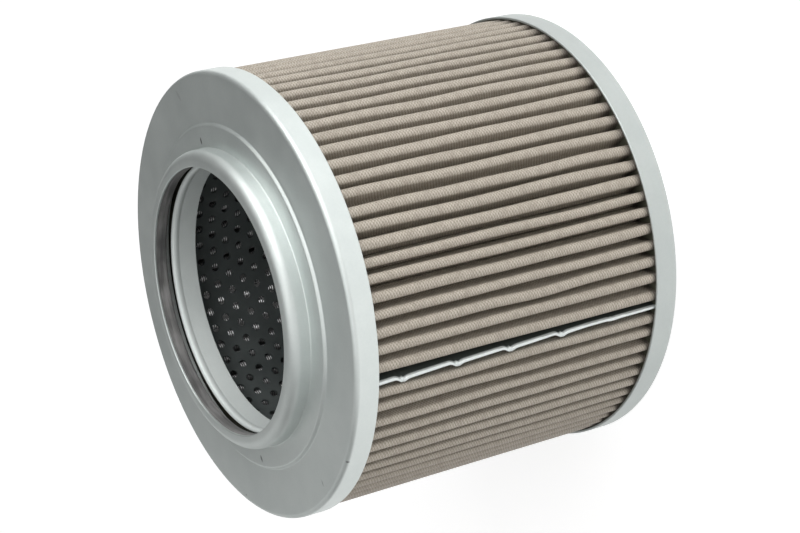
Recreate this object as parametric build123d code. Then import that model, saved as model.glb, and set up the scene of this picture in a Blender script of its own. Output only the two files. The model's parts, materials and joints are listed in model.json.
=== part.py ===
"""Pleated hydraulic filter element with a flanged neck, standing on its closed end.

Z runs along the axis of the element. The origin is the middle of the closed end's underside,
and the neck points up. Every solid is written to its own STEP file in parts/.
"""
import os
from math import cos, radians, sin

from build123d import *

# ---------------------------------------------------------------- driving dimensions, mm
element_length = 124.0       # underside of the closed end to the face of the open end
cap_radius = 75.0            # outside of both end caps
sheet = 0.8                  # pressed steel of both end caps
cap_corner_radius = 2.0      # outside bend between a cap's face and its skirt
front_skirt_height = 8.4
rear_skirt_height = 8.9

step_radius = 58.5           # where the pressed step of a cap's face starts
step_height = 1.0            # raised at the open end, sunk by as much at the closed end

collar_radius = 50.0         # outside of the neck's collar
collar_height = 6.9          # above the raised part of the face
collar_bend_radius = 3.4     # outside bend from the collar's wall to its turned-in lip
neck_bore_radius = 44.8      # the lip's edge and the sleeve share this bore

seal_height = 4.3            # rubber ring behind the lip
seal_bore_radius = 45.0

sleeve_wall = 1.0
sleeve_rim_radius = 0.95     # bead that is rolled on the sleeve's upper edge, above the resin

potting_front_depth = 6.2    # resin inside the open end's cap
potting_rear_depth = 7.2     # resin inside the closed end's cap

tube_outer_radius = 55.5     # perforated core tube
tube_wall = 1.0
hole_radius = 1.45           # to the corners of a six-sided opening
hole_columns = 16
hole_rows = 5
hole_end_margin = 14.0       # plain band left at each end of the tube

pleat_count = 83
pleat_fit = 0.15             # from the pleats' crests to the inside of a skirt
pleat_width = 3.4            # across one pleat, below its crest
pleat_crown = 1.0            # height of the rounded crest
media_thickness = 1.0        # fine mesh and its backing mesh together
pleat_root_gap = 0.5         # from the core tube to the inner folds

seam_angle = -118.7          # degrees round the axis
seam_slot = 2.9              # extra room for the seam, in degrees
seam_fin = 0.9               # the two ends of the mesh, pressed together
clip_wall = 0.4
clip_depth = 6.0
clip_setback = 0.2           # how far the clip's crest lies below the pleats' crests

# ---------------------------------------------------------------- sizes that follow from them
skirt_bore = cap_radius - sheet
step_run = step_height                       # the step slopes at 45 degrees
raised_face = element_length + step_height
collar_top = raised_face + collar_height
collar_bore = collar_radius - sheet

tube_inner_radius = tube_outer_radius - tube_wall
tube_bottom = step_height + sheet
potting_front_bottom = element_length - sheet - potting_front_depth
potting_rear_top = sheet + potting_rear_depth
sleeve_outer_radius = neck_bore_radius + sleeve_wall
potting_front_top = element_length - sheet
sleeve_bottom = potting_front_bottom - sleeve_wall
sleeve_top = potting_front_top + 2 * sleeve_rim_radius

pleat_radius = skirt_bore - pleat_fit
shoulder_radius = pleat_radius - pleat_crown
fold_inner_radius = tube_outer_radius + pleat_root_gap
fold_outer_radius = fold_inner_radius + media_thickness
pleat_pitch = (360.0 - seam_slot) / pleat_count
clip_radius = pleat_radius - clip_setback
pleat_height = potting_front_bottom - potting_rear_top


def turned(outline):
    """Turn a closed outline, drawn as (radius, height), once round the axis."""
    return revolve(Plane.XZ * make_face(outline), axis=Axis.Z)


def quarter(radius, centre_radius, centre_height, start_angle):
    """Quarter of a circle for a bend, drawn as (radius, height)."""
    return CenterArc((centre_radius, centre_height), radius, start_angle, 90)


def polar(radius, angle, side=0.0, height=0.0):
    """A point at radius along the direction angle, moved sideways by side."""
    a = radians(angle)
    return (radius * cos(a) - side * sin(a), radius * sin(a) + side * cos(a), height)


# ---------------------------------------------------------------- end caps
def front_end_cap():
    """Pressed ring: skirt, face, raised step and the collar with its turned-in lip."""
    skirt_end = element_length - front_skirt_height
    rim_middle = cap_radius - cap_corner_radius
    rim_height = element_length - cap_corner_radius
    lip_start = collar_radius - collar_bend_radius
    wall_end = collar_top - collar_bend_radius
    outside = [
        Line((cap_radius, skirt_end), (cap_radius, rim_height)),
        quarter(cap_corner_radius, rim_middle, rim_height, 0),
        Polyline(
            (rim_middle, element_length),
            (step_radius, element_length),
            (step_radius - step_run, raised_face),
            (collar_radius, raised_face),
            (collar_radius, wall_end),
        ),
        quarter(collar_bend_radius, lip_start, wall_end, 0),
    ]
    inside = [
        Polyline(
            (lip_start, collar_top),
            (neck_bore_radius, collar_top),
            (neck_bore_radius, collar_top - sheet),
            (lip_start, collar_top - sheet),
        ),
        quarter(collar_bend_radius - sheet, lip_start, wall_end, 0),
        Polyline(
            (collar_bore, wall_end),
            (collar_bore, raised_face - sheet),
            (step_radius - step_run, raised_face - sheet),
            (step_radius, element_length - sheet),
            (rim_middle, element_length - sheet),
        ),
        quarter(cap_corner_radius - sheet, rim_middle, rim_height, 0),
        Polyline((skirt_bore, rim_height), (skirt_bore, skirt_end), (cap_radius, skirt_end)),
    ]
    return turned(outside + inside)


def rear_end_cap():
    """Pressed dish that closes the lower end, with its middle sunk by the same step."""
    corner = cap_corner_radius
    foot = cap_radius - corner
    return turned([
        Polyline(
            (foot, 0),
            (step_radius, 0),
            (step_radius - step_run, step_height),
            (0, step_height),
            (0, step_height + sheet),
            (step_radius - step_run, step_height + sheet),
            (step_radius, sheet),
            (foot, sheet),
        ),
        quarter(corner - sheet, foot, corner, -90),
        Polyline(
            (skirt_bore, corner),
            (skirt_bore, rear_skirt_height),
            (cap_radius, rear_skirt_height),
            (cap_radius, corner),
        ),
        quarter(corner, foot, corner, -90),
    ])


# ---------------------------------------------------------------- neck
def seal_ring():
    """Rubber ring under the lip, its outer edge rounded to fill the collar's bend."""
    top = collar_top - sheet
    lip_start = collar_radius - collar_bend_radius
    wall_end = collar_top - collar_bend_radius
    return turned([
        Line((seal_bore_radius, top), (lip_start, top)),
        quarter(collar_bend_radius - sheet, lip_start, wall_end, 0),
        Polyline(
            (collar_bore, wall_end),
            (collar_bore, top - seal_height),
            (seal_bore_radius, top - seal_height),
            (seal_bore_radius, top),
        ),
    ])


def neck_sleeve():
    """Short lining of the neck: a flange on the core tube, a wall and a rolled rim."""
    bead_middle = neck_bore_radius + sleeve_rim_radius
    bead_height = sleeve_top - sleeve_rim_radius
    return turned([
        quarter(sleeve_rim_radius, bead_middle, bead_height, 90),
        Polyline(
            (bead_middle, sleeve_top),
            (max(bead_middle, sleeve_outer_radius), bead_height),
            (sleeve_outer_radius, potting_front_top),
            (sleeve_outer_radius, potting_front_bottom),
            (tube_outer_radius, potting_front_bottom),
            (tube_outer_radius, sleeve_bottom),
            (neck_bore_radius, sleeve_bottom),
            (neck_bore_radius, bead_height),
        ),
    ])


# ---------------------------------------------------------------- resin
def front_potting():
    """Resin ring between the pleats' upper ends and the open end's face."""
    rim_middle = cap_radius - cap_corner_radius
    rim_height = element_length - cap_corner_radius
    return turned([
        Polyline(
            (rim_middle, potting_front_top),
            (sleeve_outer_radius, potting_front_top),
            (sleeve_outer_radius, potting_front_bottom),
            (skirt_bore, potting_front_bottom),
            (skirt_bore, rim_height),
        ),
        quarter(cap_corner_radius - sheet, rim_middle, rim_height, 0),
    ])


def rear_potting():
    """Resin ring between the pleats' lower ends and the closed end, round the core tube."""
    rim_middle = cap_radius - cap_corner_radius
    return turned([
        Polyline(
            (skirt_bore, cap_corner_radius),
            (skirt_bore, potting_rear_top),
            (tube_outer_radius, potting_rear_top),
            (tube_outer_radius, tube_bottom),
            (step_radius - step_run, tube_bottom),
            (step_radius, sheet),
            (rim_middle, sheet),
        ),
        quarter(cap_corner_radius - sheet, rim_middle, cap_corner_radius, -90),
    ])


# ---------------------------------------------------------------- core tube
def core_tube():
    """Perforated tube that holds the pleats up from inside, its openings in staggered rows."""
    length = sleeve_bottom - tube_bottom
    middle = tube_bottom + length / 2
    tube = Pos(0, 0, middle) * (
        Cylinder(tube_outer_radius, length) - Cylinder(tube_inner_radius, length)
    )
    row_pitch = (length - 2 * hole_end_margin) / (hole_rows - 1)
    punch = extrude(RegularPolygon(hole_radius, 6), 4 * tube_wall)
    reach = tube_inner_radius - tube_wall
    punches = []
    for row in range(hole_rows):
        height = tube_bottom + hole_end_margin + row * row_pitch
        for column in range(hole_columns):
            turn = 360.0 / hole_columns * (column + 0.5 * (row % 2))
            punches.append(Rot(0, 0, turn) * Pos(reach, 0, height) * Rot(0, 90, 0) * punch)
    return tube - punches


# ---------------------------------------------------------------- pleated mesh and its seam
def pleat_angles():
    """Direction of every pleat's crest, counted on from the seam."""
    first = seam_angle + seam_slot / 2 + pleat_pitch / 2
    return [first + i * pleat_pitch for i in range(pleat_count)]


def filter_mesh():
    """Pleated mesh as one closed ring, its two ends turned out into a fin at the seam."""
    half = pleat_width / 2
    channel = half - media_thickness
    half_pitch = pleat_pitch / 2
    fold_side = fold_inner_radius * sin(radians(half_pitch)) - media_thickness
    outer, inner = [], []
    angles = pleat_angles()
    for angle in angles:
        before = polar(fold_outer_radius, angle - half_pitch)
        after = polar(fold_outer_radius, angle + half_pitch)
        left = polar(shoulder_radius, angle, -half)
        right = polar(shoulder_radius, angle, half)
        outer += [Line(before, left), ThreePointArc(left, polar(pleat_radius, angle), right), Line(right, after)]
        inner += [
            polar(fold_inner_radius, angle, -fold_side),
            polar(shoulder_radius, angle, -channel),
            polar(shoulder_radius, angle, channel),
            polar(fold_inner_radius, angle, fold_side),
        ]
    fin = seam_fin / 2
    outer.append(Polyline(
        polar(fold_outer_radius, angles[-1] + half_pitch),
        polar(fold_outer_radius, seam_angle, -fin),
        polar(clip_radius - clip_wall, seam_angle, -fin),
        polar(clip_radius - clip_wall, seam_angle, fin),
        polar(fold_outer_radius, seam_angle, fin),
        polar(fold_outer_radius, angles[0] - half_pitch),
    ))
    section = make_face(outer) - make_face(Polyline(*inner, close=True))
    return Pos(0, 0, potting_rear_top) * extrude(section, pleat_height)


def seam_clip():
    """Folded strip that grips the fin and runs from cap to cap."""
    side = seam_fin / 2 + clip_wall
    outer = Polyline(
        polar(clip_radius - clip_depth, seam_angle, -side),
        polar(clip_radius, seam_angle, -side),
        polar(clip_radius, seam_angle, side),
        polar(clip_radius - clip_depth, seam_angle, side),
        polar(clip_radius - clip_depth, seam_angle, seam_fin / 2),
        polar(clip_radius - clip_wall, seam_angle, seam_fin / 2),
        polar(clip_radius - clip_wall, seam_angle, -seam_fin / 2),
        polar(clip_radius - clip_depth, seam_angle, -seam_fin / 2),
        close=True,
    )
    return Pos(0, 0, potting_rear_top) * extrude(make_face(outer), pleat_height)


# ---------------------------------------------------------------- one file a piece
pieces = {
    "front_end_cap": front_end_cap,
    "rear_end_cap": rear_end_cap,
    "seal_ring": seal_ring,
    "neck_sleeve": neck_sleeve,
    "front_potting": front_potting,
    "rear_potting": rear_potting,
    "core_tube": core_tube,
    "filter_mesh": filter_mesh,
    "seam_clip": seam_clip,
}

os.makedirs("parts", exist_ok=True)
for name, make in pieces.items():
    shape = make()
    export_step(shape, f"parts/{name}.step")
    print(f"{name}: {len(shape.solids())} solid, {shape.volume / 1000:.1f} cm3")
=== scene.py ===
# %% [markdown]
# # A pleated filter element
# A hydraulic filter element is a drum of folded wire cloth between two pressed steel caps.
# A perforated tube holds the folds up from inside, and a rubber ring in the neck seals it.
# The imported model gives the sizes, so the lengths below start from its boxes. It already has
# the right form, so each piece here is drawn again in its place with finer bends and folds.

# %% Load the frame
import json
import math
import random

import bpy
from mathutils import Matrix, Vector


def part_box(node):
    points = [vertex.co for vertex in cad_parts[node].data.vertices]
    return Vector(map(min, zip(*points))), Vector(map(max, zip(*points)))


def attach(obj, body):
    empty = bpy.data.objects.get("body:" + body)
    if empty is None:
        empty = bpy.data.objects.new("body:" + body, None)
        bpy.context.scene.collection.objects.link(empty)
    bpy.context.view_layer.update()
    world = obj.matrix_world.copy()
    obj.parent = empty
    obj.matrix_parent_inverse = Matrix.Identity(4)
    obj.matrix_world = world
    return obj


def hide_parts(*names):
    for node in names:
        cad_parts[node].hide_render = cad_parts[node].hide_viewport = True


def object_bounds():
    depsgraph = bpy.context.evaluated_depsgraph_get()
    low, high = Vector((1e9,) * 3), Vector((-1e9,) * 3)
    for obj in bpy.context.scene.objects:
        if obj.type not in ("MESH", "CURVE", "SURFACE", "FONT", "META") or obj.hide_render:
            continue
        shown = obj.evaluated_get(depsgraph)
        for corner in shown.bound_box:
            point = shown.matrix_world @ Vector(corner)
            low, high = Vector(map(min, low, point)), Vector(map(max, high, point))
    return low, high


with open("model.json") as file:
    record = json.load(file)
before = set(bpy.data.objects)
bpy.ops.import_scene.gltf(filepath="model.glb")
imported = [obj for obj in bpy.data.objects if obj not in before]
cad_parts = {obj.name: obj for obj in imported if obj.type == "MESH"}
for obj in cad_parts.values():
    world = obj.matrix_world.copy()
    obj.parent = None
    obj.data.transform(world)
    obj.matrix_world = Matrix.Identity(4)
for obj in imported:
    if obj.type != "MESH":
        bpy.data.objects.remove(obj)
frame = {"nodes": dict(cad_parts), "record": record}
cad_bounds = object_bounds()
MM = 0.001
print("solids:", sorted(frame["nodes"]))

# %% Sizes of the element, read from the boxes
cap_low, cap_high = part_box("front_end_cap")
_, rear_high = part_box("rear_end_cap")
sleeve_low, sleeve_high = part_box("neck_sleeve")
resin_low, resin_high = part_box("front_potting")
_, sump_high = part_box("rear_potting")
tube_low, tube_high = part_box("core_tube")
cloth_low, cloth_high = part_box("filter_mesh")
seal_low, seal_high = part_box("seal_ring")

cap_radius = cap_high[0]
collar_top = cap_high[2]
bore_radius = frame["record"]["mounts"][0]["dims"]["r_mm"] * MM
sheet = round(rear_high[0] - sump_high[0], 4)
face_height = resin_high[2] + sheet
collar_radius = seal_high[0] + sheet
print("cap radius", round(cap_radius / MM, 2), "mm, face at", round(face_height / MM, 2), "mm")
print("neck bore", round(bore_radius / MM, 2), "mm, sheet", round(sheet / MM, 2), "mm")

# %% [markdown]
# ## Picking by place
# Every piece is modelled in edit mode, as one would by hand: edges are picked, then pulled or
# rounded. A hand clicks on them; a script picks them by a test on their two ends. That is
# slower than keeping their indices, but it reads as what is meant.

# %% Pick edges by their place
NEAR = 0.02 * MM


def edit(piece):
    """Open one piece, and only that one, in edit mode."""
    if bpy.context.mode != "OBJECT":
        bpy.ops.object.mode_set(mode="OBJECT")
    bpy.ops.object.select_all(action="DESELECT")
    bpy.context.view_layer.objects.active = piece
    piece.select_set(True)
    bpy.ops.object.mode_set(mode="EDIT")


def pick_edges(piece, chosen):
    """Select the edges whose two ends both pass a test, and stay in edit mode."""
    edit(piece)
    bpy.ops.mesh.select_mode(type="EDGE")
    bpy.ops.mesh.select_all(action="DESELECT")
    bpy.ops.object.mode_set(mode="OBJECT")
    picked = [chosen(point.co) for point in piece.data.vertices]
    for line in piece.data.edges:
        line.select = all(picked[end] for end in line.vertices)
    bpy.ops.object.mode_set(mode="EDIT")


print("points count as the same within", NEAR / MM, "mm")

# %% [markdown]
# ## Modifiers and shading
# A modifier is added, set and applied in one go, so that the mesh on show is the real one and
# the next step can pick its edges. Smooth shading stops at sharp edges, as light does on
# pressed sheet.

# %% Apply a modifier, and shade smooth
def apply_modifier(piece, kind, **settings):
    """Add one modifier with its settings and apply it at once."""
    added = piece.modifiers.new(kind.lower(), kind)
    for key, setting in settings.items():
        setattr(added, key, setting)
    bpy.context.view_layer.objects.active = piece
    bpy.ops.object.modifier_apply(modifier=added.name)


def shade_smooth(piece, degrees):
    """Shade smooth, apart from edges that are sharper than an angle."""
    bpy.ops.object.select_all(action="DESELECT")
    piece.select_set(True)
    bpy.context.view_layer.objects.active = piece
    bpy.ops.object.shade_smooth_by_angle(angle=math.radians(degrees))


print("modifiers are applied as soon as they are set")

# %% [markdown]
# ## Turned pieces
# Caps, collar, sleeve and rubber ring are all round about one axis. A lathe would cut them, or
# a press would draw them, one ring after another. The helper does the same: it starts from a
# circle, pulls it from ring to ring, closes it, and then rounds the rings that are bends.
# Spinning a profile would be as good, but a bend would then need its points worked out.

# %% A ring is a radius, a height and the radius of its bend
ROUND = 200
BEND_STEP = 0.3 * MM


def pick_ring(piece, radius, height):
    """Select the edges that lie on one ring."""
    def on_ring(at):
        return abs(math.hypot(at.x, at.y) - radius) < NEAR and abs(at.z - height) < NEAR

    pick_edges(piece, on_ring)


def turned(name, rings, open_centre=True):
    """Pull a circle through every ring; a ring is (radius, height, bend) in metres."""
    start_radius, start_height, _ = rings[0]
    bpy.ops.object.select_all(action="DESELECT")
    start = (0, 0, start_height)
    bpy.ops.mesh.primitive_circle_add(vertices=ROUND, radius=start_radius, location=start)
    piece = bpy.context.object
    piece.name = name
    bpy.ops.object.transform_apply(location=True, rotation=True, scale=True)
    bpy.ops.object.mode_set(mode="EDIT")
    bpy.ops.mesh.select_all(action="SELECT")
    route = rings + [rings[0]] if open_centre else rings
    for (before_r, before_z, _), (radius, height, _) in zip(route, route[1:]):
        move = {"value": (0, 0, height - before_z)}
        bpy.ops.mesh.extrude_region_move(TRANSFORM_OT_translate=move)
        grow = radius / before_r
        bpy.ops.transform.resize(value=(grow, grow, 1), center_override=(0, 0, height))
    bpy.ops.mesh.select_all(action="SELECT")
    bpy.ops.mesh.remove_doubles(threshold=0.002 * MM)
    if not open_centre:
        for radius, height, _ in (rings[0], rings[-1]):
            pick_ring(piece, radius, height)
            bpy.ops.mesh.edge_face_add()
    bpy.ops.mesh.select_all(action="SELECT")
    bpy.ops.mesh.normals_make_consistent(inside=False)
    for radius, height, bend in rings:
        if bend:
            pick_ring(piece, radius, height)
            segments = max(3, round(bend / BEND_STEP))
            bpy.ops.mesh.bevel(offset=bend, segments=segments, affect="EDGES")
    bpy.ops.object.mode_set(mode="OBJECT")
    shade_smooth(piece, 40)
    apply_modifier(piece, "WEIGHTED_NORMAL", keep_sharp=True)
    print(name, len(piece.data.polygons), "faces")
    return piece


print("round pieces have", ROUND, "sides")

# %% [markdown]
# ## Shader maths
# A material is a small calculation. A thin wrapper lets a socket be added, multiplied and
# compared like a number, so that a finish reads as one or two lines of ordinary maths. The
# same nodes could be linked one by one, but nobody could then read what they work out.

# %% A socket that can be calculated with
def plug(socket, given):
    """Link a Value to a socket, or set a plain number or colour on it."""
    if isinstance(given, Value):
        given.tree.links.new(given.socket, socket)
    else:
        socket.default_value = given


class Value:
    """One output of a node, in the tree that it belongs to."""

    def __init__(self, tree, socket):
        self.tree = tree
        self.socket = socket

    def node(self, kind, settings, inputs, output=0):
        """Any node: its settings, then a number, colour or Value for each named socket."""
        made = self.tree.nodes.new(kind)
        for key, setting in settings.items():
            setattr(made, key, setting)
        for key, given in inputs.items():
            plug(made.inputs[key], given)
        return Value(self.tree, made.outputs[output])

    def maths(self, operation, *terms):
        """One step of maths on the terms, made in this Value's tree."""
        return self.node("ShaderNodeMath", {"operation": operation}, dict(enumerate(terms)))

    def __add__(self, other):
        return self.maths("ADD", self, other)

    def __radd__(self, other):
        return self.maths("ADD", other, self)

    def __sub__(self, other):
        return self.maths("SUBTRACT", self, other)

    def __rsub__(self, other):
        return self.maths("SUBTRACT", other, self)

    def __mul__(self, other):
        return self.maths("MULTIPLY", self, other)

    def __rmul__(self, other):
        return self.maths("MULTIPLY", other, self)

    def sine(self):
        return self.maths("SINE", self)

    def absolute(self):
        return self.maths("ABSOLUTE", self)

    def between(self, low, high):
        """0 below low, 1 above high and a smooth step in between."""
        settings = {"interpolation_type": "SMOOTHSTEP"}
        inputs = {"Value": self, "From Min": low, "From Max": high}
        return self.node("ShaderNodeMapRange", settings, inputs)

    def axes(self):
        """The three coordinates of a place."""
        split = self.node("ShaderNodeSeparateXYZ", {}, {"Vector": self})
        return [Value(self.tree, socket) for socket in split.socket.node.outputs]

    def length(self):
        """How far a place lies from the origin."""
        return self.node("ShaderNodeVectorMath", {"operation": "LENGTH"}, {0: self}, output=1)


print("sockets can be added, subtracted and multiplied")

# %% [markdown]
# ## Steps that every finish shares
# Each finish starts from the same shader, blends two colours by a mask of soft noise and raises
# a little bump. Short functions for these steps leave a material with only its own numbers.

# %% Start a material, blend its colours and raise a bump
def start_material(name):
    """A new material: it, its shader, the place on the object and the place on the cloth."""
    material = bpy.data.materials.new(name)
    material.use_nodes = True
    tree = material.node_tree
    shader = tree.nodes["Principled BSDF"]
    place = tree.nodes.new("ShaderNodeTexCoord")
    return material, shader, Value(tree, place.outputs["Object"]), Value(tree, place.outputs["UV"])


def feed(shader, **inputs):
    """Link or set the shader's sockets; Base_Color stands for Base Color."""
    for key, given in inputs.items():
        plug(shader.inputs[key.replace("_", " ")], given)


def noise(place, scale, detail=2.0, roughness=0.5):
    inputs = {"Vector": place, "Scale": scale, "Detail": detail, "Roughness": roughness}
    return place.node("ShaderNodeTexNoise", {}, inputs)


def blend(mask, colour_a, colour_b):
    """Colour a where the mask is 0, and b where it is 1."""
    settings = {"data_type": "RGBA"}
    return mask.node("ShaderNodeMix", settings, {0: mask, 6: colour_a, 7: colour_b}, output=2)


def bump(height, strength, distance):
    inputs = {"Height": height, "Strength": strength, "Distance": distance}
    return height.node("ShaderNodeBump", {}, inputs)


def grey(level, warm=0.0):
    return (level * (1 + warm), level, level * (1 - warm), 1)


print("a middle grey is", grey(0.5))

# %% [markdown]
# ## Plated steel
# The caps are pressed from bright sheet and have a dull, slightly blue-green plating. It is not
# a mirror: fine grain from the rolls spreads the light, and handling leaves faint cloudy marks
# and a few dark flecks. Painting the flecks on a texture is usual. A handful of small ovals,
# each given by its place and size, needs no texture and stays sharp close up.

# %% Cloudy plating and its flecks
FLECK_DEPTH = 1.2 * MM
FLECK_GREY = grey(0.08)


def fleck(place, x, y, z, length, width, turn):
    """1 inside a small oval mark, given by its middle and its size in millimetres, else 0."""
    inputs = {
        "Vector": place,
        "Location": (x * MM, y * MM, z * MM),
        "Rotation": (0, 0, math.radians(turn)),
        "Scale": (length / 2 * MM, width / 2 * MM, FLECK_DEPTH),
    }
    oval = place.node("ShaderNodeMapping", {"vector_type": "TEXTURE"}, inputs)
    return 1 - oval.length().between(0.45, 1.15)


def plated_steel(name, shine, metal=0.88, marks=()):
    """Dull zinc plating; shine is how much light it gives back, from 0 to 1."""
    material, shader, place, _ = start_material(name)
    cloud = noise(place, 30.0, 3.0)
    patch = noise(place, 130.0)
    grain = noise(place, 1500.0)
    tone = cloud * 0.5 + patch * 0.3 + grain * 0.2
    low = (0.9 * shine, 0.965 * shine, 0.945 * shine, 1)
    high = (1.0 * shine, 1.06 * shine, 1.035 * shine, 1)
    colour = blend(tone.between(0.3, 0.7), low, high)
    for *oval, darkness in marks:
        colour = blend(fleck(place, *oval) * darkness, colour, FLECK_GREY)
    feed(
        shader,
        Base_Color=colour,
        Metallic=metal,
        Roughness=0.46 + cloud * 0.08 + patch * 0.05,
        Normal=bump(grain * 0.6 + patch * 0.4, 0.06, 0.2 * MM),
    )
    return material


print("a fleck reaches", FLECK_DEPTH / MM, "mm into the sheet")

# %% [markdown]
# ## One plating, three finishes
# The open end's face is the one that hands touch, so only it has marks: chips and spots, and
# one broad faint smudge. The closed cap gets a darker copy as painted shade, and the lining
# of the neck is so rubbed that it hardly mirrors. One function with three settings keeps them
# alike in grain.

# %% Three finishes of the plating
# Each mark has x, y and z of its middle, its length and width in millimetres, its turn in
# degrees, and how dark it is, from 0 to 1.
cap_marks = [
    (52.3, -3.4, 125.0, 2.7, 1.0, 0.0, 0.92),
    (-53.9, 9.0, 124.6, 2.9, 1.3, 10.0, 0.7),
    (-57.6, -47.8, 123.5, 1.1, 1.1, 0.0, 0.7),
    (-63.5, -29.0, 124.0, 2.4, 0.6, 10.0, 0.45),
    (69.3, 7.5, 124.0, 5.0, 1.6, 30.0, 0.14),
    (-66.0, 30.0, 124.0, 1.0, 0.7, 60.0, 0.35),
]
steel_finish = plated_steel("plated_steel", 0.67, marks=cap_marks)
# The closed cap's copy is darker as painted shade; its plating is the same.
shaded_finish = plated_steel("plated_steel_shaded", 0.52)
lining_finish = plated_steel("plated_steel_lining", 0.7, metal=0.15)
print("steel:", steel_finish.name, shaded_finish.name, lining_finish.name)

# %% [markdown]
# ## Handing a piece over
# A finished piece gets one material and is carried by a body. It then stands for the plain
# solid of the model, so nothing is in one place twice.

# %% Give a piece its material and its solids
def finish_piece(piece, material, slot, *nodes):
    """Give a piece its material, and let it stand for its solids. The slot is not used."""
    piece.data.materials.clear()
    piece.data.materials.append(material)
    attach(piece, "root")
    if nodes:
        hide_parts(*nodes)


print("every piece rides on the body root, because nothing moves")

# %% [markdown]
# ## The open end's cap
# One pressing: a skirt round the pleats, a flat face, a shallow step, and a neck whose upper
# edge is bent inwards to a thin lip. Rings are listed from the skirt's foot, round the outside
# and back along the inside. Rounding each ring as a bevel keeps a bend editable by one number.

# %% Open end's cap
skirt_foot = cap_low[2]
skirt_bore = cap_radius - sheet
corner_bend = 1.7 * MM
corner_inside = 1.3 * MM
lip_bend = 3.4 * MM
lip_inside = lip_bend - sheet
step_rise = round(tube_low[2] - sheet, 4)
step_out = cap_radius - 16.9 * MM
step_in = step_out - 0.9 * MM
raised = face_height + step_rise
collar_bore = collar_radius - sheet
front_cap = turned("end_cap_open", [
    (skirt_bore, skirt_foot, 0.2 * MM),
    (cap_radius, skirt_foot, 0.35 * MM),
    (cap_radius, face_height, corner_bend),
    (step_out, face_height, 0.25 * MM),
    (step_in, raised, 0.35 * MM),
    (collar_radius, raised, 0.4 * MM),
    (collar_radius, collar_top, lip_bend),
    (bore_radius, collar_top, 0.3 * MM),
    (bore_radius, collar_top - sheet, 0.15 * MM),
    (collar_bore, collar_top - sheet, lip_inside),
    (collar_bore, raised - sheet, 0.0),
    (step_in, raised - sheet, 0.0),
    (step_out, face_height - sheet, 0.0),
    (skirt_bore, face_height - sheet, corner_inside),
])
finish_piece(front_cap, steel_finish, "plated_steel", "front_end_cap")

# %% [markdown]
# ## The closed end's cap
# The same kind of pressing without a neck. Its middle is sunk a little, which stiffens the
# sheet and lets the element stand on its rim. The rings start and end at the step, and one
# flat face each closes the middle.

# %% Closed end's cap
rear_cap = turned("end_cap_closed", [
    (step_in, step_rise, 0.35 * MM),
    (step_out, 0.0, 0.35 * MM),
    (cap_radius, 0.0, corner_bend),
    (cap_radius, rear_high[2], 0.35 * MM),
    (skirt_bore, rear_high[2], 0.2 * MM),
    (skirt_bore, sheet, corner_inside),
    (step_out, sheet, 0.0),
    (step_in, step_rise + sheet, 0.0),
], open_centre=False)
finish_piece(rear_cap, shaded_finish, "plated_steel", "rear_end_cap")

# %% [markdown]
# ## Rubber ring
# A square ring of black rubber sits behind the lip. Its inside has been rubbed along its
# length: the long streaks are wear and a painted sheen, drawn by noise squeezed along the axis.

# %% Rubber ring
def seal_rubber():
    material, shader, place, _ = start_material("seal_rubber")
    squeeze = {"Vector": place, "Scale": (30.0, 30.0, 420.0)}
    drawn_out = place.node("ShaderNodeMapping", {}, squeeze)
    streak = noise(drawn_out, 1.0, 4.0, 0.65)
    patch = noise(place, 70.0, 3.0)
    # Partly wear, partly painted sheen: the streaks are lighter in the colour itself.
    wear_and_sheen = (streak * 0.6 + patch * 0.4).between(0.38, 0.66)
    feed(
        shader,
        Base_Color=blend(wear_and_sheen, grey(0.09, 0.01), grey(0.28, 0.02)),
        Roughness=0.28 + patch * 0.35,
        Normal=bump(streak, 0.3, 0.4 * MM),
    )
    return material


seal_bore = bore_radius + 0.2 * MM
seal = turned("neck_seal", [
    (seal_bore, seal_high[2], 0.4 * MM),
    (seal_bore, seal_low[2], 0.9 * MM),
    (seal_high[0], seal_low[2], 0.3 * MM),
    (seal_high[0], seal_high[2], lip_inside),
])
finish_piece(seal, seal_rubber(), "rubber", "seal_ring")

# %% [markdown]
# ## Neck sleeve
# A short lining of the same sheet. Its rim is rolled over to a soft bead with a crease below
# it, and its lower end turns out over the core tube. The bead is only two rounded rings: a
# full roll would be hidden behind it.

# %% Neck sleeve
sleeve_out = bore_radius + 1.0 * MM
bead_bore = bore_radius - 0.35 * MM
rim = sleeve_high[2]
sleeve = turned("neck_sleeve_rolled", [
    (bore_radius, sleeve_low[2], 0.25 * MM),
    (bore_radius, rim - 2.6 * MM, 0.2 * MM),
    (bead_bore, rim - 1.9 * MM, 0.5 * MM),
    (bead_bore, rim, 1.1 * MM),
    (sleeve_out + 0.1 * MM, rim, 0.3 * MM),
    (sleeve_out, resin_high[2], 0.0),
    (sleeve_out, resin_low[2], 0.0),
    (sleeve_high[0], resin_low[2], 0.0),
    (sleeve_high[0], sleeve_low[2], 0.0),
])
finish_piece(sleeve, lining_finish, "plated_steel", "neck_sleeve")

# %% [markdown]
# ## Core tube
# The real tube starts as a flat sheet with staggered rows of punched holes and is then rolled.
# It is made the same way here: one cell with its hole, an array of cells, then the rolling.
# Cutting over a thousand holes with a boolean would be slow and leave ragged faces.

# %% One flat cell with its hole
HOLES_ROUND = 57
HOLE_ROWS = 21
HOLE_SIDES = 16
FIRST_HOLE = math.radians(-1.76)
row_pitch = 5.08 * MM
top_row = 109.6 * MM
hole_radius = 1.42 * MM
tube_radius = tube_high[0]
tube_wall = 1.0 * MM
tube_bore = tube_radius - tube_wall
cell_width = 2 * math.pi * tube_bore / HOLES_ROUND


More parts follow.
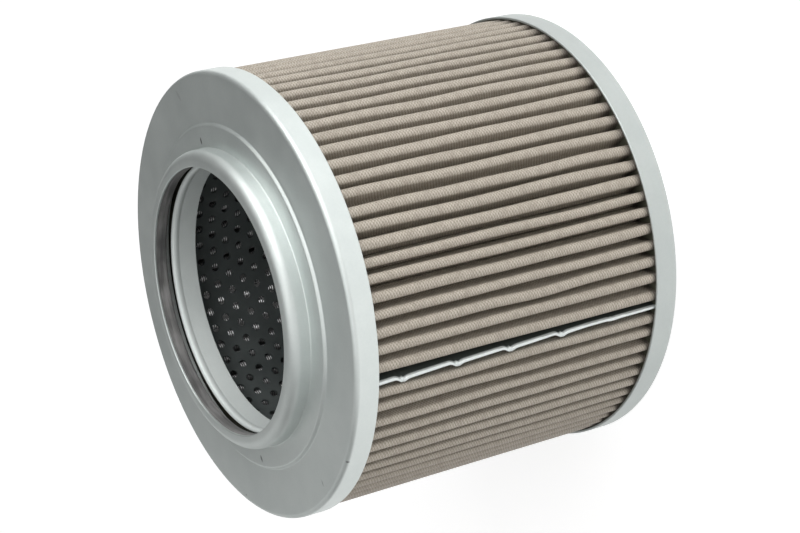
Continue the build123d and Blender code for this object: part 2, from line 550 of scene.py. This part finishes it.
def punched_cell():
    """A flat cell with a round hole: a circle pulled out to the cell's own outline."""
    bpy.ops.object.select_all(action="DESELECT")
    bpy.ops.mesh.primitive_circle_add(vertices=HOLE_SIDES, radius=hole_radius)
    cell = bpy.context.object
    bpy.ops.object.mode_set(mode="EDIT")
    bpy.ops.mesh.select_all(action="SELECT")
    bpy.ops.mesh.extrude_region_move()
    bpy.ops.transform.resize(value=(1.5, 1.5, 1))
    bpy.ops.object.mode_set(mode="OBJECT")
    for point in cell.data.vertices:
        x, y = point.co.x, point.co.y
        if math.hypot(x, y) > 1.2 * hole_radius:
            # Four points to a side: each goes to the nearest quarter of the cell's outline.
            reach = max(abs(x), abs(y))
            point.co.x = round(2 * x / reach) / 2 * cell_width / 2
            point.co.y = round(2 * y / reach) / 2 * row_pitch / 2
    return cell


print("cell:", round(cell_width / MM, 2), "by", round(row_pitch / MM, 2), "mm")

# %% [markdown]
# ## Rows of holes, rolled
# Two arrays repeat the cell: the even rows, and the odd ones half a cell further on. Then what
# lay across the sheet becomes an angle, which rolls it up. The bend tool would roll it too, but
# it needs a window.

# %% Rows of cells, rolled to a tube
def copy_of(piece, shift=(0, 0)):
    """A copy with its own mesh, moved by shift along X and Y."""
    twin = piece.copy()
    twin.data = piece.data.copy()
    bpy.context.collection.objects.link(twin)
    for point in twin.data.vertices:
        point.co.x += shift[0]
        point.co.y += shift[1]
    return twin


def join(name, pieces):
    bpy.ops.object.select_all(action="DESELECT")
    for piece in pieces:
        piece.select_set(True)
    bpy.context.view_layer.objects.active = pieces[0]
    bpy.ops.object.join()
    pieces[0].name = name
    pieces[0].data.name = name
    return pieces[0]


def repeat(piece, count, step):
    """Repeat a piece along a step and weld the copies together."""
    apply_modifier(
        piece,
        "ARRAY",
        use_relative_offset=False,
        use_constant_offset=True,
        constant_offset_displace=step,
        count=count,
        use_merge_vertices=True,
        merge_threshold=0.01 * MM,
    )


even_rows = punched_cell()
repeat(even_rows, HOLES_ROUND, (cell_width, 0, 0))
odd_rows = copy_of(even_rows, (cell_width / 2, -row_pitch))
repeat(even_rows, (HOLE_ROWS + 1) // 2, (0, -2 * row_pitch, 0))
repeat(odd_rows, HOLE_ROWS // 2, (0, -2 * row_pitch, 0))
tube = join("perforated_tube", [even_rows, odd_rows])
for point in tube.data.vertices:
    turn = FIRST_HOLE + point.co.x / tube_bore
    height = top_row + point.co.y
    point.co = (tube_bore * math.cos(turn), tube_bore * math.sin(turn), height)
print("tube:", HOLES_ROUND * HOLE_ROWS, "holes")

# %% [markdown]
# ## Ends and wall of the tube
# A plain band runs from the last row of holes to each end of the tube, and is pulled out of the
# open edge. The sheet then grows outwards to its wall, which gives each hole its own depth.

# %% Plain bands, then the wall
def change_whole(piece, operator, **settings):
    """Run one edit-mode operator on all of a piece."""
    edit(piece)
    bpy.ops.mesh.select_all(action="SELECT")
    operator(**settings)
    bpy.ops.object.mode_set(mode="OBJECT")


def weld(piece, gap):
    change_whole(piece, bpy.ops.mesh.remove_doubles, threshold=gap)


def face_outwards(piece):
    """Turn an open sheet round if its faces look at the axis."""
    faces = piece.data.polygons
    outward = sum(f.normal.x * f.center.x + f.normal.y * f.center.y for f in faces)
    if outward < 0:
        change_whole(piece, bpy.ops.mesh.flip_normals)


def thicken(piece, thickness, offset):
    """Give a sheet its wall: offset 1 grows it outwards, -1 inwards."""
    apply_modifier(piece, "SOLIDIFY", thickness=thickness, offset=offset)


def pull_band(piece, edge_height, to_height):
    """Pull the plain band of the tube from the last row of cells to its end."""
    pick_edges(piece, lambda at: abs(at.z - edge_height) < NEAR)
    move = {"value": (0, 0, to_height - edge_height)}
    bpy.ops.mesh.extrude_region_move(TRANSFORM_OT_translate=move)
    bpy.ops.object.mode_set(mode="OBJECT")


weld(tube, 0.03 * MM)
pull_band(tube, top_row - (HOLE_ROWS - 0.5) * row_pitch, tube_low[2])
pull_band(tube, top_row + 0.5 * row_pitch, tube_high[2])
change_whole(tube, bpy.ops.mesh.normals_make_consistent, inside=False)
face_outwards(tube)
thicken(tube, tube_wall, 1.0)
shade_smooth(tube, 32)
print("tube:", len(tube.data.polygons), "faces with its wall")

# %% [markdown]
# ## Dark steel
# The tube is bare steel that oil has turned dark, and it is seen only in its own shade. Two
# near greys in soft clouds are enough; fine noise keeps the shine from looking like plastic.

# %% Dark steel
def dark_steel():
    material, shader, place, _ = start_material("dark_steel")
    cloud = noise(place, 70.0, 3.0)
    grain = noise(place, 900.0)
    oiled_dark = (0.085, 0.098, 0.096, 1)
    oiled_light = (0.115, 0.13, 0.128, 1)
    feed(
        shader,
        Base_Color=blend(cloud.between(0.3, 0.7), oiled_dark, oiled_light),
        Metallic=0.3,
        Roughness=0.45 + grain * 0.15,
        Normal=bump(grain, 0.2, 0.1 * MM),
    )
    return material


finish_piece(tube, dark_steel(), "dark_steel", "core_tube")
print("tube has", tube.data.materials[0].name)

# %% [markdown]
# ## Pleats
# One fold of cloth is drawn as an outline and pulled up in rows. Every copy then leans and
# waves a little by itself, as real folds do, but its two feet stay where its neighbours start,
# so that the folds weld into one continuous sheet. A cloth simulation would give such waves
# too, but not the same ones every time, and the resin holds the real folds stiff anyway.

# %% Outline of one pleat
PLEATS = 83
ROWS = 16
SEAM_ANGLE = math.radians(-118.7)
SEAM_SLOT = math.radians(2.9)
pitch = (2 * math.pi - SEAM_SLOT) / PLEATS
crest_radius = skirt_bore - 0.15 * MM
foot_radius = tube_radius + 1.5 * MM
cloth_bottom = cloth_low[2]
cloth_top = cloth_high[2]
cloth_thickness = 0.45 * MM


def mirrored(half, middle=()):
    """A whole outline from half of it, given as (radius, side) from the foot up."""
    return [(reach, -side) for reach, side in half] + list(middle) + list(reversed(half))


def pleat_outline(crest, foot, half_foot):
    """A fold that swells against its neighbours low down and has a round crest."""
    swell = foot + 10.2 * MM
    flank = [
        (foot, half_foot),
        (swell, half_foot + 0.26 * MM),
        (swell + 0.6 * MM, 2.02 * MM),
        (swell + 1.4 * MM, 1.7 * MM),
    ]
    # Distance from the fold's middle and drop below its crest, in millimetres.
    edge = [(1.6, 1.9), (1.6, 1.2), (1.48, 0.82), (1.22, 0.5), (0.9, 0.25), (0.5, 0.08)]
    half = flank + [(crest - drop * MM, side * MM) for side, drop in edge]
    return mirrored(half, middle=[(crest, 0.0)])


half_foot = foot_radius * math.sin(pitch / 2)
fold_outline = pleat_outline(crest_radius, foot_radius, half_foot)
print("fold:", len(fold_outline), "points, one every", round(math.degrees(pitch), 2), "degrees")

# %% [markdown]
# ## From outline to strip
# The outline is drawn point by point with the extrude tool and then pulled up in rows. Curve
# objects can be given a height too, and with less code, but such a strip has no rows, and it is
# the rows that bend later.

# %% Draw the outline and pull it up
def row_heights(bottom, top):
    """Close rows just above the closed cap, then even ones."""
    close = [bottom + step * MM for step in (0, 1.0, 2.2, 3.8)]
    return close + [close[-1] + (top - close[-1]) * (i + 1) / ROWS for i in range(ROWS)]


def drawn_strip(name, outline, heights):
    """Draw an outline point by point and pull it up row by row."""
    bpy.ops.object.select_all(action="DESELECT")
    bpy.ops.mesh.primitive_circle_add(vertices=3, radius=MM)
    strip = bpy.context.object
    strip.name = name
    bpy.ops.object.mode_set(mode="EDIT")
    bpy.ops.mesh.select_mode(type="VERT")
    bpy.ops.mesh.select_all(action="SELECT")
    bpy.ops.mesh.merge(type="CENTER")
    bpy.ops.transform.translate(value=(*outline[0], heights[0]))
    for before, after in zip(outline, outline[1:]):
        move = {"value": (after[0] - before[0], after[1] - before[1], 0)}
        bpy.ops.mesh.extrude_region_move(TRANSFORM_OT_translate=move)
    bpy.ops.mesh.select_all(action="SELECT")
    for before, after in zip(heights, heights[1:]):
        move = {"value": (0, 0, after - before)}
        bpy.ops.mesh.extrude_region_move(TRANSFORM_OT_translate=move)
    bpy.ops.object.mode_set(mode="OBJECT")
    return strip


heights = row_heights(cloth_bottom, cloth_top)
base_pleat = drawn_strip("pleat", fold_outline, heights)
print("strip:", len(heights), "rows,", len(base_pleat.data.polygons), "faces")

# %% [markdown]
# ## The cloth laid flat
# The weave runs along the folds, so every point keeps its place on the cloth as it was before
# the folding: how far along the outline, and how high. Unwrapping would give much the same map,
# but in a scale of its own, and threads are best given in millimetres.

# %% Lay the cloth flat in the UV map
def lay_cloth(strip, outline):
    """Unroll the outline into the UV map, in millimetres along the cloth and up it."""
    along = [0.0]
    for before, after in zip(outline, outline[1:]):
        along.append(along[-1] + math.dist(before, after) / MM)
    for old in list(strip.data.uv_layers):
        strip.data.uv_layers.remove(old)
    layer = strip.data.uv_layers.new(name="cloth")
    points = strip.data.vertices
    for corner in strip.data.loops:
        x, y, z = points[corner.vertex_index].co
        gaps = [math.dist((x, y), point) for point in outline]
        layer.data[corner.index].uv = (along[gaps.index(min(gaps))], z / MM)
    return along[-1]


cloth_width = lay_cloth(base_pleat, fold_outline)
print("one pleat:", round(cloth_width, 1), "mm of cloth")

# %% [markdown]
# ## Hand-laid folds
# Each fold gets a lean, a girth, a slightly lower crest and two slow waves, all drawn from one
# seeded dice, so that the drum is uneven but the same each time. What a point gets grows from
# nothing at the foot to all of it at the crest.

# %% Slow waves from one seeded dice
dice = random.Random(11)
FULL_TURN = 6.28


def smooth(value):
    """0 to 1, eased at both ends."""
    value = min(max(value, 0.0), 1.0)
    return value * value * (3 - 2 * value)


def wave():
    """A slow wander along the length, in millimetres, as a function of height."""
    parts = [
        (dice.uniform(0.04, 0.16), dice.uniform(35, 110), dice.uniform(0, FULL_TURN))
        for _ in range(3)
    ]
    return lambda z: sum(
        size * math.sin(FULL_TURN * z / length + start) for size, length, start in parts
    )


print("a wave is three slow sines, 35 to 110 mm long")

# %% Every pleat with its own lean and waves
SEAM_SAG = 0.55  # how far the fold beside the seam leans into it, in millimetres
SEAM_SAG_LENGTH = 95


def turn_to(piece, angle):
    """Turn a mesh about the axis."""
    cos_a, sin_a = math.cos(angle), math.sin(angle)
    for point in piece.data.vertices:
        x, y = point.co.x, point.co.y
        point.co.x = x * cos_a - y * sin_a
        point.co.y = x * sin_a + y * cos_a


def set_pleat(base, index, width):
    """A copy of the pleat, bent a little and turned to its place."""
    twin = copy_of(base)
    angle = SEAM_ANGLE + SEAM_SLOT / 2 + pitch * (index + 0.5)
    lean = dice.gauss(0, 0.2)
    sag = SEAM_SAG if index == 0 else 0.0
    girth = 1 + dice.uniform(-0.08, 0.1)
    droop = dice.uniform(0.0, 0.25)
    side_wave = wave()
    edge_wave = wave()
    foot, crest = foot_radius / MM, crest_radius / MM
    for point in twin.data.vertices:
        r, s, z = point.co.x / MM, point.co.y / MM, point.co.z / MM
        rise = smooth((r - foot) / (crest - foot))
        s = s * (1 + (girth - 1 + 0.05 * edge_wave(z)) * rise)
        s += (lean + side_wave(z) - sag * (1 - smooth(z / SEAM_SAG_LENGTH))) * rise
        r -= droop * rise
        point.co = (r * MM, s * MM, z * MM)
    turn_to(twin, angle)
    for corner in twin.data.uv_layers["cloth"].data:
        corner.uv[0] += index * width
    return twin


pleats = [set_pleat(base_pleat, index, cloth_width) for index in range(PLEATS)]
bpy.data.objects.remove(base_pleat)
print(len(pleats), "pleats set,", round(PLEATS * cloth_width), "mm of cloth in all")

# %% [markdown]
# ## Seam
# The two ends of the cloth meet in one slot, where they are pressed together into a fin. The
# fin is a narrow strip of the same kind, so it welds to the first and the last fold.

# %% Fin of cloth in the seam's slot
fin_top = crest_radius - 5.5 * MM
fin_middle = foot_radius + (fin_top - foot_radius) / 2
fin_half = 0.4 * MM
slot_half = foot_radius * math.sin(SEAM_SLOT / 2)
fin_outline = mirrored([
    (foot_radius, slot_half),
    (foot_radius, fin_half),
    (fin_middle, fin_half),
    (fin_top, fin_half),
])
fin = drawn_strip("fin", fin_outline, heights)
lay_cloth(fin, fin_outline)
turn_to(fin, SEAM_ANGLE)
cloth = join("pleated_cloth", pleats + [fin])
weld(cloth, NEAR)
face_outwards(cloth)
print("cloth:", len(cloth.data.polygons), "faces in one sheet")

# %% [markdown]
# ## Woven wire cloth
# The cloth is stainless wire, too fine to see one by one. What shows is a twill: short slanting
# dashes in rows along each fold. A picture of cloth is the usual way, but it would repeat over
# so many folds. Two sine waves that cross give the threads on the unrolled cloth, and noise
# breaks them up as wear does. Painted shade darkens the folds' ends where they go into the
# closed cap, and the folds on one side of the drum a little.

# %% Wire cloth
def wire_cloth():
    """Twill in radians a millimetre of cloth, with speckle, faded patches and painted shade."""
    material, shader, place, cloth_place = start_material("wire_cloth")
    across, along, _ = cloth_place.axes()
    wander = noise(cloth_place, 0.15)
    warp = (along * 6.2 - across * 2.8 + wander * 8.0).sine() * 0.5 + 0.5
    weft = (along * 5.6 + across * 5.2 + wander * 6.0).sine() * 0.5 + 0.5
    fade = noise(cloth_place, 0.35).between(0.3, 0.6)
    speckle = noise(cloth_place, 2.1, 2.0, 0.7)
    patch = noise(place, 26.0)
    weave = (warp * 0.62 + weft * 0.38) * (0.26 + fade * 0.18) + speckle * 0.68
    colour = blend(weave.between(0.22, 0.9), (0.22, 0.191, 0.152, 1), (0.51, 0.462, 0.395, 1))
    colour = blend(patch.between(0.35, 0.75) * 0.15, colour, (0.3, 0.27, 0.22, 1))
    side, _, height = place.axes()
    # Painted shade: the folds on the drum's -X side are coloured darker.
    painted_low_side_shade = 1 - side.between(-0.073, -0.055)
    colour = blend(painted_low_side_shade * 0.38, colour, (0.2, 0.172, 0.14, 1))
    # Painted shade where the folds go into the closed cap, a little higher on the +X side and
    # broken up by the speckle.
    upper = side.between(-0.01, 0.03)
    cap_edge_shade_top = rear_high[2] + 2.0 * MM + upper * 2.2 * MM
    cap_edge_shade = 1 - height.between(rear_high[2] - 0.2 * MM, cap_edge_shade_top)
    colour = blend(cap_edge_shade * (speckle * 1.3), colour, (0.035, 0.026, 0.022, 1))
    feed(
        shader,
        Base_Color=colour,
        Metallic=0.2,
        Roughness=0.5 + speckle * 0.15,
        Normal=bump(weave, 0.4, 0.3 * MM),
    )
    return material


thicken(cloth, cloth_thickness, -1.0)
shade_smooth(cloth, 50)
finish_piece(cloth, wire_cloth(), "wire_mesh", "filter_mesh")
print("cloth:", len(cloth.data.polygons), "faces with its thickness")

# %% [markdown]
# ## Backing mesh
# A coarser mesh lines the folds and stiffens them. It is seen only through the tube's holes,
# where its wires glint in short rows at the foot of each fold. So its folds have plain flanks
# and a wide foot, and a dim glow stands for the glints: the true ones, mirrored by wires finer
# than a hair, would take far too long to gather.

# %% Backing mesh inside the folds
backing_crest = crest_radius - 2.6 * MM
backing_foot = tube_radius + 0.12 * MM
backing_half_foot = (backing_foot + 1.2 * MM) * math.sin(pitch / 2)
backing_outline = mirrored([
    (backing_foot, backing_half_foot),
    (backing_foot + 0.2 * MM, 1.15 * MM),
    (backing_foot + 0.9 * MM, 0.8 * MM),
    (backing_foot + 3.0 * MM, 0.75 * MM),
    (backing_crest, 0.7 * MM),
])
base_backing = drawn_strip("backing_fold", backing_outline, [cloth_bottom, cloth_top])
backing_width = lay_cloth(base_backing, backing_outline)
folds = []
for index in range(PLEATS):
    fold = copy_of(base_backing)
    turn_to(fold, SEAM_ANGLE + SEAM_SLOT / 2 + pitch * (index + 0.5))
    folds.append(fold)
bpy.data.objects.remove(base_backing)
backing = join("backing_cloth", folds)
weld(backing, 0.01 * MM)
face_outwards(backing)
thicken(backing, 0.3 * MM, -1.0)
print("backing:", len(backing.data.polygons), "faces")

# %% Painted glints on the wires at the folds' foot
def backing_wire(fold_width):
    """Wires painted bright at the foot of each fold as painted highlight, dark above it, and a
    painted glow in one band; lengths in millimetres.
    """
    material, shader, place, cloth_place = start_material("backing_wire")
    across, along, _ = cloth_place.axes()
    wires = (along * 7.85).sine() * 0.5 + 0.5
    half_fold = fold_width / 2
    off_crest = (across - half_fold).absolute()
    at_foot = off_crest.between(half_fold - 0.75, half_fold - 0.35)
    breaks = noise(cloth_place, 0.9, 1.0).between(0.35, 0.6)
    # Painted highlight: the wires' colour is bright mostly at the folds' foot.
    glint = wires.between(0.45, 0.75) * (0.35 + breaks * 0.65) * (0.2 + at_foot * 0.8)
    # Painted glint: a glow in a band on the side that light through the neck reaches.
    side = place.axes()[0]
    off_beam = (side + 0.003).absolute()
    lit = glint * (1 - off_beam.between(0.003, 0.017)) * breaks
    feed(
        shader,
        Base_Color=blend(glint, grey(0.1), grey(0.98)),
        Roughness=0.3,
        Emission_Color=blend(lit, grey(0.0), grey(0.7)),
        Emission_Strength=0.85,
        Normal=bump(wires, 1.0, 0.1 * MM),
    )
    return material


finish_piece(backing, backing_wire(backing_width), "wire_mesh", "filter_mesh")
print("backing has", backing.data.materials[0].name)

# %% [markdown]
# ## Seam clip
# A strip of bright steel is folded over the fin and holds the two ends of the cloth together.
# It is drawn like a fold, as an outline that is pulled up, but in many close rows, so that it
# has enough points to be dented. Sculpting the dents would never make them alike.

# %% Strip of the seam clip
CLIP_ROWS = 420
clip_crest = crest_radius - 0.05 * MM
clip_half = 0.57 * MM
clip_outline = [
    (clip_crest - 7.0 * MM, -clip_half - 0.1 * MM),
    (clip_crest - 3.0 * MM, -clip_half),
    (clip_crest - 0.6 * MM, -clip_half),
    (clip_crest - 0.14 * MM, -clip_half * 0.7),
    (clip_crest, 0.0),
    (clip_crest - 0.14 * MM, clip_half * 0.7),
    (clip_crest - 0.6 * MM, clip_half),
    (clip_crest - 1.6 * MM, clip_half),
    (clip_crest - 3.0 * MM, clip_half),
    (clip_crest - 7.0 * MM, clip_half + 0.1 * MM),
]
clip_length = cloth_top - cloth_bottom
clip_heights = [cloth_bottom + clip_length * row / CLIP_ROWS for row in range(CLIP_ROWS + 1)]
clip = drawn_strip("seam_strip", clip_outline, clip_heights)
print("strip:", CLIP_ROWS, "rows over", round(clip_length / MM, 1), "mm")

# %% [markdown]
# ## Crimps
# The strip is crimped along its length with a pointed tool. Each crimp pushes it to one side
# and dents its edge, and it springs back before the next one. A formula moves each point, which
# keeps the crimps evenly spaced and lets one number change them all.

# %% Crimp the strip
# The crimps, all in millimetres.
CRIMP_PITCH = 20.05
FIRST_CRIMP = 26.0
JOG = 0.42  # sideways to each side of the strip's line
JOG_LENGTH = 3.3
JOG_SLOPE = 0.042  # how much of a jog springs back in each millimetre
DIP = 0.7  # a short overshoot in the middle of a crimp
DIP_LENGTH = 1.5
DENT_LENGTH = 0.45
DENT_OUT = 0.55  # the strip's flank bulges beside the tool's point
DENT_IN = 0.35  # and its edge is pressed in under it
GRAZE = 0.25  # the share of a crimp that is left near the closed cap
GRAZE_END, GRAZE_FADE = 33, 6
ROOT_DEPTH = 5  # the strip is held fast this far below its edge
DRIFT, DRIFT_START, DRIFT_LENGTH = -0.6, 40, 70


def crimp(strip):
    """Jog the strip sideways at even steps, dent its edge there, and let it drift."""
    clip_wave = wave()
    for point in strip.data.vertices:
        height = point.co.z / MM
        below_crest = clip_crest - point.co.x
        from_crimp = (height - FIRST_CRIMP + CRIMP_PITCH / 2) % CRIMP_PITCH - CRIMP_PITCH / 2
        spring_back = JOG_SLOPE * from_crimp
        before, after = -JOG - spring_back, JOG - spring_back
        dip = DIP * math.exp(-((from_crimp / DIP_LENGTH) ** 2))
        jog = before + (after - before) * smooth(from_crimp / JOG_LENGTH) - dip
        bite = GRAZE + (1 - GRAZE) * smooth((height - GRAZE_END) / GRAZE_FADE)
        rise = smooth((point.co.x - clip_crest + ROOT_DEPTH * MM) / (ROOT_DEPTH * MM))
        dent = bite * math.exp(-(((from_crimp - 0.2) / DENT_LENGTH) ** 2))
        if point.co.y > 0 and 0.4 * MM < below_crest < 2.0 * MM:
            point.co.y += DENT_OUT * MM * dent
        if abs(point.co.y) < 0.45 * MM and below_crest < 0.3 * MM:
            point.co.x -= DENT_IN * MM * dent
        drift = DRIFT * smooth((height - DRIFT_START) / DRIFT_LENGTH)
        point.co.y += (0.4 * clip_wave(height) + jog * bite + drift) * MM * rise


crimp(clip)
turn_to(clip, SEAM_ANGLE)
face_outwards(clip)
thicken(clip, 0.3 * MM, -1.0)
shade_smooth(clip, 50)
print("clip:", len(clip.data.polygons), "faces")

# %% [markdown]
# ## Bright strip
# The strip's edge is rubbed bare. Its flanks stand in the shade of the slot, and that shade is
# painted dark into their colour. Two materials would need the faces sorted, and would part along
# a hard line. The distance from the axis tells edge from flank, and blends them.

# %% Bright strip
def bright_strip():
    """Bare on its edge, with painted shade on its flanks."""
    material, shader, place, _ = start_material("bright_strip")
    grain = noise(place, 900.0)
    multiply = {"operation": "MULTIPLY"}
    flat = place.node("ShaderNodeVectorMath", multiply, {0: place, 1: (1, 1, 0)})
    # Painted shade: the flanks, down in the slot, are coloured nearly black; the edge is bare
    # steel.
    edge_vs_shaded_flank = flat.length().between(crest_radius - 1.5 * MM, crest_radius - 0.75 * MM)
    steel = blend(grain, (0.58, 0.62, 0.61, 1), (0.7, 0.74, 0.73, 1))
    feed(
        shader,
        Base_Color=blend(edge_vs_shaded_flank, (0.03, 0.038, 0.034, 1), steel),
        Metallic=edge_vs_shaded_flank * 0.6,
        Roughness=0.7 - edge_vs_shaded_flank * 0.32,
        Normal=bump(grain, 0.15, 0.2 * MM),
    )
    return material


finish_piece(clip, bright_strip(), "clip_steel", "seam_clip")
print("clip has", clip.data.materials[0].name)

# %% [markdown]
# ## Resin
# Both caps are filled with cast resin. Little of it shows, deep between the folds, so the two
# rings stay as they are. They only get the resin's olive tone, painted dark for the shade they lie
# in.

# %% Resin
def cast_resin(name, tone):
    material, shader, place, _ = start_material(name)
    cloud = noise(place, 90.0, 3.0)
    thin = (0.6 * tone, 0.62 * tone, 0.4 * tone, 1)
    thick = (tone, tone, 0.7 * tone, 1)
    feed(
        shader,
        Base_Color=blend(cloud.between(0.3, 0.7), thin, thick),
        Roughness=0.45 + cloud * 0.2,
        Normal=bump(cloud, 0.3, 0.5 * MM),
    )
    return material


# Both tones are painted shade: the front ring lies in the neck's shadow, the rear one deep between
# the folds.
for node, tone in (("front_potting", 0.05), ("rear_potting", 0.07)):
    solid = frame["nodes"][node]
    solid.data.materials.clear()
    solid.data.materials.append(cast_resin("resin_" + node.split("_")[0], tone))
    print(node, "has", solid.data.materials[0].name)

# %% [markdown]
# ## Floor
# A large pale sheet that glows a little, as a table lit from below does. It keeps the ground
# white without strong lamps, and the steel mirrors it. It lies a hair under the cap, because
# two faces in one plane would flicker.

# %% Floor
FLOOR_GAP = 0.2 * MM


def pale_floor():
    material, shader, place, _ = start_material("pale_floor")
    feed(
        shader,
        Base_Color=blend(noise(place, 3.0), grey(0.5), grey(0.52)),
        Roughness=0.9,
        Emission_Color=grey(1.0),
        Emission_Strength=0.72,
    )
    return material


bpy.ops.mesh.primitive_plane_add(size=8.0, location=(0, 0, -FLOOR_GAP))
floor = bpy.context.object
floor.name = "floor"
bpy.ops.object.transform_apply(location=True, rotation=True, scale=True)
floor.data.materials.append(pale_floor())
print("floor", floor.dimensions.x, "m wide")

# %% [markdown]
# ## Camera
# A long lens from in front and above, rolled so that the drum lies across the view with its
# open end to the left. The long lens keeps both caps nearly as round as they are.

# %% Camera
camera_data = bpy.data.cameras.new("camera")
camera_data.lens = 97.24
camera_data.sensor_width = 36.0
camera = bpy.data.objects.new("camera", camera_data)
bpy.context.collection.objects.link(camera)
camera.location = (0.0, -0.64295, 0.42646)
camera.rotation_euler = [math.radians(turn) for turn in (-22.7031, 57.6583, -116.0871)]
bpy.context.scene.camera = camera
print("lens", round(camera_data.lens, 2), "mm,", round(camera.location.length, 3), "m away")

# %% [markdown]
# ## Light
# Five square soft boxes look at the middle of the element. Two stand on the side that the view
# shows as its top, so that every fold has a light flank and a dark one. A weak one opposite
# fills the shade, one over the open end rounds the collar's bend, and a low one behind gives
# the rear cap an edge.

# %% Lights
element_middle = (cad_bounds[0][2] + cad_bounds[1][2]) / 2
bpy.context.view_layer.update()
centre = Vector((0, 0, element_middle))


def soft_lamp(name, place, size, power):
    """A square soft box that looks at the element; place is from the element's middle."""
    data = bpy.data.lights.new(name, "AREA")
    data.shape = "SQUARE"
    data.size = size
    data.energy = power
    lamp = bpy.data.objects.new(name, data)
    bpy.context.collection.objects.link(lamp)
    lamp.location = centre + Vector(place)
    lamp.rotation_euler = (-Vector(place)).to_track_quat("-Z", "Y").to_euler()


soft_lamp("top_box", (1.2, -0.56, 0.6), 1.1, 11.5)
soft_lamp("key_box", (0.75, -1.12, 0.68), 1.3, 11.0)
soft_lamp("fill_box", (-0.72, -0.92, 0.62), 1.4, 5.0)
soft_lamp("open_end_box", (0.0, -0.45, 1.5), 1.4, 8.0)
soft_lamp("back_box", (-0.5, 0.8, 0.55), 0.9, 1.4)
print(len(bpy.data.lights), "soft boxes")

# %% [markdown]
# ## Sky
# Steel shows what it mirrors, so the sky is there for its looks more than for its light. It is
# almost dark, with a faint glow low behind, on the side away from the two strong lamps. A
# picture of a studio is the usual sky, but these few nodes need no file.

# %% Sky
world = bpy.data.worlds.new("studio")
world.use_nodes = True
sky = world.node_tree
towards = sky.nodes.new("ShaderNodeTexCoord")
side_x, side_y, height_z = Value(sky, towards.outputs["Generated"]).axes()
dark_side = side_x.between(-0.15, 0.2)
low_back = side_y.between(0.0, 0.6) * (1 - height_z.between(0.25, 0.6))
background = sky.nodes["Background"]
plug(background.inputs["Color"], grey(1.0))
plug(background.inputs["Strength"], 0.06 + 0.2 * low_back * (1 - dark_side))
bpy.context.scene.world = world
bpy.context.scene.view_settings.view_transform = "Standard"
print("sky:", world.name, "seen through", bpy.context.scene.view_settings.view_transform)
